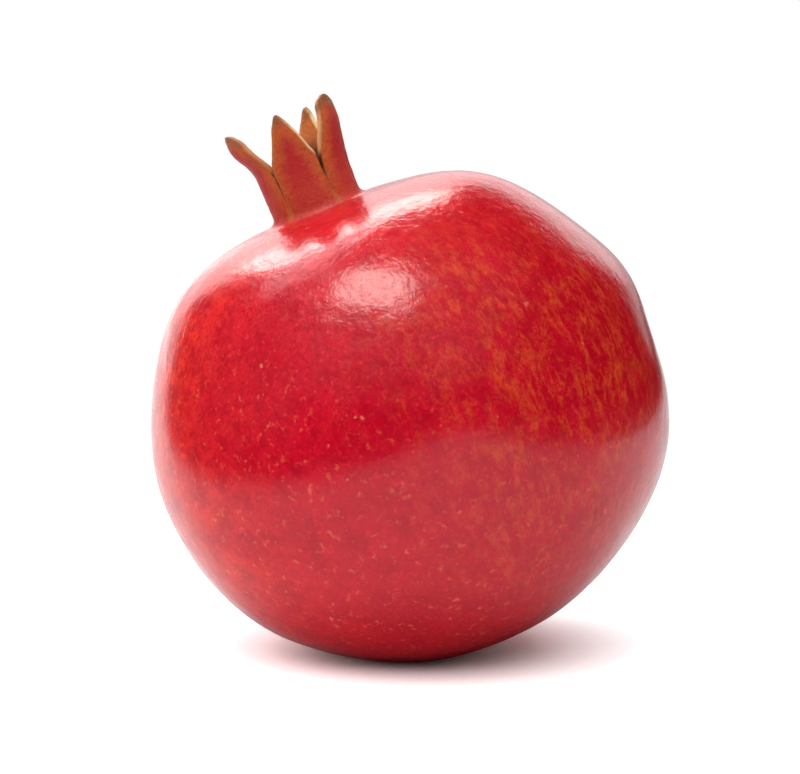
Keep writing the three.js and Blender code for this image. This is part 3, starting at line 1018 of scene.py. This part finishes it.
class POMEGRANATE_OT_stamens(bpy.types.Operator):
    """Set the withered stamens round the inside of the calyx"""

    bl_idname = "pomegranate.stamens"
    bl_label = "Stamens"

    def execute(self, context):
        settings = context.scene.pomegranate_calyx
        rng = random.Random(7)
        mesh = bmesh.new()
        for number in range(settings.filaments):
            path = filament_path(rng, number, PIECES_FLOOR)
            draw_filament(mesh, path, settings.filament_width / MM)
            set_anther(mesh, rng, path[-1])
        bmesh.ops.recalc_face_normals(mesh, faces=mesh.faces)
        put(mesh, to_row(swell(shift_calyx(coordinates(mesh)))))
        material = dried_material("withered_stamens", settings.filament, settings.anther, 0.9)
        finish_piece("withered_stamens", mesh, material, "stamens")
        return {"FINISHED"}


# The style's swollen stigma at its top: share of its height, radius as a share of the style's.
STIGMA = ((0.86, 0.62), (0.91, 0.82), (0.95, 0.85), (0.985, 0.66), (1.0, 0.35), (0.99, 0))
STYLE_BEND = 0.35


class POMEGRANATE_OT_style(bpy.types.Operator):
    """Stand the withered style in the middle of the stamens"""

    bl_idname = "pomegranate.style"
    bl_label = "Style"

    def execute(self, context):
        settings = context.scene.pomegranate_calyx
        floor, top = PIECES_FLOOR, FOOT + STYLE_TOP
        rows = [(0, floor), (0.5 * STYLE_RADIUS, floor), (STYLE_RADIUS, floor + 0.2)]
        neck = [(share, lerp(0.95, 0.5, smoothstep(share, 0, 0.6))) for share in np.linspace(0.08, 0.8, 10)]
        for share, radius in (*neck, *STIGMA):
            rows.append((radius * STYLE_RADIUS, lerp(floor, top, share)))
        mesh = turned(rows, 18)
        points = coordinates(mesh)
        share = np.clip((points[:, 2] - floor) / (top - floor), 0, 1)
        points[:, 0] += STYLE_BEND * np.sin(share * 3.0) * share
        mesh.normal_update()
        normals = np.array([v.normal for v in mesh.verts])
        points = points + normals * ripple(points, STYLE_CREASES)[:, None]
        put(mesh, to_row(swell(shift_calyx(points))))
        material = dried_material("withered_style", settings.filament, settings.anther, 1.4)
        finish_piece("withered_style", mesh, material, "style")
        return {"FINISHED"}


class POMEGRANATE_OT_stem_stub(bpy.types.Operator):
    """Seat the stub of the stalk in its socket"""

    bl_idname = "pomegranate.stem_stub"
    bl_label = "Stalk stub"

    def execute(self, context):
        settings = context.scene.pomegranate_calyx
        inner = SOCKET_DEPTH - SKIN[-1] - PIECE_GAP
        outer = inner - STUB_LENGTH
        rows = [(r * STUB_RADIUS, outer + 0.25 * (1 - r)) for r in (0, 0.2, 0.35, 0.5, 0.65, 0.8)]
        rows += [(0.9 * STUB_RADIUS, outer + 0.12), (0.97 * STUB_RADIUS, outer + 0.4)]
        rows += [(STUB_RADIUS, lerp(outer + 0.4, inner - 0.2, t)) for t in (0.2, 0.5, 0.8, 1)]
        rows += [(0.96 * STUB_RADIUS, inner), (0.5 * STUB_RADIUS, inner), (0, inner)]
        mesh = turned(rows, 48)
        points = coordinates(mesh)
        broken = smoothstep(-points[:, 2], -outer - 0.5, -outer)
        points[:, 2] += broken * np.abs(ripple(points * (1, 1, 0), BROKEN_WOOD))
        mesh.normal_update()
        around = np.arctan2(points[:, 0], -points[:, 1])
        shrink = 1 - 0.03 * np.abs(np.sin(around * 7)) - 0.03 * np.abs(np.sin(around * 3 + 1))
        points[:, :2] *= shrink[:, None]
        put(mesh, to_row(swell(points)))
        material = dried_material("weathered_stalk", settings.stalk, settings.pith, 0.8)
        finish_piece("stalk_stub", mesh, material, "stem_stub")
        return {"FINISHED"}


# Lights that stand round the fruit: azimuth from the front towards the right, elevation,
# distance, width and height in metres, how far it is turned about its own axis, radiance,
# whether it lights matt surfaces, and whether glossy ones mirror it.
LIGHTS = (
    ("key_softbox", -48, 67.5, 0.9, 0.42, 0.285, 20, 11.5, False, True),
    ("back_strip", -160, 43.5, 0.9, 0.56, 0.27, -24, 8.5, False, True),
    ("left_haze", -128, 51, 0.95, 0.54, 0.34, 0, 2.5, False, True),
    ("high_backdrop", -178, 24, 0.9, 1.22, 0.36, 0, 1.6, False, True),
    ("low_backdrop", 170, 7, 0.9, 0.90, 0.18, 0, 0.7, False, True),
    ("back_wall", -154, 5, 1.5, 0.90, 0.40, 0, 1.2, False, True),
    ("ceiling", -8, 68, 1.2, 2.20, 2.20, 0, 2.05, True, False),
    ("left_wall", -88, 22, 1.0, 1.40, 1.20, 0, 1.45, True, False),
)
WARM_LAMPS = ("key_softbox", "back_strip")
FILL = 0.27  # radiance of the rest of the room
TABLE_SIZE = 6  # metres from its middle to its edges
TABLE_DROP = 0.05  # it lies this far below the fruit, so that the two never share a plane
AIM = Vector((-1.85, 0, 5.7))  # what the camera looks at, from the fruit's middle


def lay_table(scene, settings):
    """A white table top under the fruit."""
    mesh = bmesh.new()
    bmesh.ops.create_grid(mesh, x_segments=1, y_segments=1, size=TABLE_SIZE)
    bmesh.ops.translate(mesh, verts=mesh.verts, vec=(0, 0, -TABLE_DROP * MM))
    data = bpy.data.meshes.new("floor")
    mesh.to_mesh(data)
    mesh.free()
    floor = bpy.data.objects.new("floor", data)
    scene.collection.objects.link(floor)
    data.materials.append(floor_material(settings))


def hang_lights(scene, settings, middle):
    """Soft boxes and pale walls, each facing the fruit's middle."""
    for name, azimuth, elevation, distance, width, height, turn, radiance, shines, mirrored in LIGHTS:
        lamp = bpy.data.lights.new(name, "AREA")
        lamp.shape = "RECTANGLE"
        lamp.size, lamp.size_y = width, height
        lamp.energy = radiance * math.pi * width * height
        if name in WARM_LAMPS:
            lamp.color = settings.lamp_colour[:3]
        light = bpy.data.objects.new(name, lamp)
        away = Vector(direction(90 - elevation, azimuth))
        light.location = middle + away * distance
        facing = (-away).to_track_quat("-Z", "Y").to_matrix()
        light.rotation_euler = (facing @ Matrix.Rotation(math.radians(turn), 3, "Z")).to_euler()
        light.visible_camera = False
        light.visible_diffuse = shines
        light.visible_glossy = mirrored
        scene.collection.objects.link(light)


def light_room(scene):
    """An even dim room to the fruit, and pure white as a backdrop."""
    world = bpy.data.worlds.new("studio")
    world.use_nodes = True
    tree = world.node_tree
    tree.nodes.clear()
    seen = add(tree, "LightPath").outputs["Is Camera Ray"]
    fill, white = (
        add(tree, "Background", {"Color": WHITE, "Strength": strength}).outputs[0]
        for strength in (FILL, 1.0)
    )
    room = add(tree, "MixShader", {0: seen, 1: fill, 2: white}).outputs[0]
    add(tree, "OutputWorld", {"Surface": room})
    world.cycles_visibility.glossy = False
    scene.world = world
    scene.view_settings.view_transform = "Standard"


def place_camera(scene, settings, middle):
    """A long lens in front of the fruit, looking slightly down on it."""
    camera = bpy.data.cameras.new("camera")
    camera.lens = camera.sensor_width * settings.distance / settings.width
    camera.clip_start = 0.05
    view = bpy.data.objects.new("camera", camera)
    back = Vector((0, -math.cos(settings.elevation), math.sin(settings.elevation)))
    view.location = middle + AIM * MM + back * settings.distance
    view.rotation_euler = (math.pi / 2 - settings.elevation, 0, 0)
    scene.collection.objects.link(view)
    scene.camera = view


class POMEGRANATE_OT_studio(bpy.types.Operator):
    """Lay the pale table top, hang the soft lights and place the camera"""

    bl_idname = "pomegranate.studio"
    bl_label = "Studio"

    def execute(self, context):
        scene = context.scene
        settings = scene.pomegranate_studio
        middle = Vector(fruit_middle())
        lay_table(scene, settings)
        hang_lights(scene, settings, middle)
        light_room(scene)
        place_camera(scene, settings, middle)
        return {"FINISHED"}


OPERATORS = (
    POMEGRANATE_OT_fruit,
    POMEGRANATE_OT_stamens,
    POMEGRANATE_OT_style,
    POMEGRANATE_OT_stem_stub,
    POMEGRANATE_OT_studio,
)
SETTINGS = {
    "pomegranate_fruit": FruitSettings,
    "pomegranate_colours": RindColours,
    "pomegranate_calyx": CalyxSettings,
    "pomegranate_studio": StudioSettings,
}


class POMEGRANATE_PT_panel(bpy.types.Panel):
    """Lists the settings and the operators"""

    bl_label = "Pomegranate"
    bl_idname = "POMEGRANATE_PT_panel"
    bl_space_type = "VIEW_3D"
    bl_region_type = "UI"
    bl_category = "Pomegranate"

    def draw(self, context):
        for name, group in SETTINGS.items():
            box = self.layout.box()
            for key in group.__annotations__:
                box.prop(getattr(context.scene, name), key)
        for operator in OPERATORS:
            self.layout.operator(operator.bl_idname)


def register():
    for cls in (*SETTINGS.values(), *OPERATORS, POMEGRANATE_PT_panel):
        bpy.utils.register_class(cls)
    for name, group in SETTINGS.items():
        setattr(bpy.types.Scene, name, bpy.props.PointerProperty(type=group))


def unregister():
    for name in SETTINGS:
        delattr(bpy.types.Scene, name)
    for cls in reversed((*SETTINGS.values(), *OPERATORS, POMEGRANATE_PT_panel)):
        bpy.utils.unregister_class(cls)


def main():
    register()
    bpy.ops.pomegranate.fruit()
    bpy.ops.pomegranate.stamens()
    bpy.ops.pomegranate.style()
    bpy.ops.pomegranate.stem_stub()
    bpy.ops.pomegranate.studio()


if __name__ == "__main__":
    main()
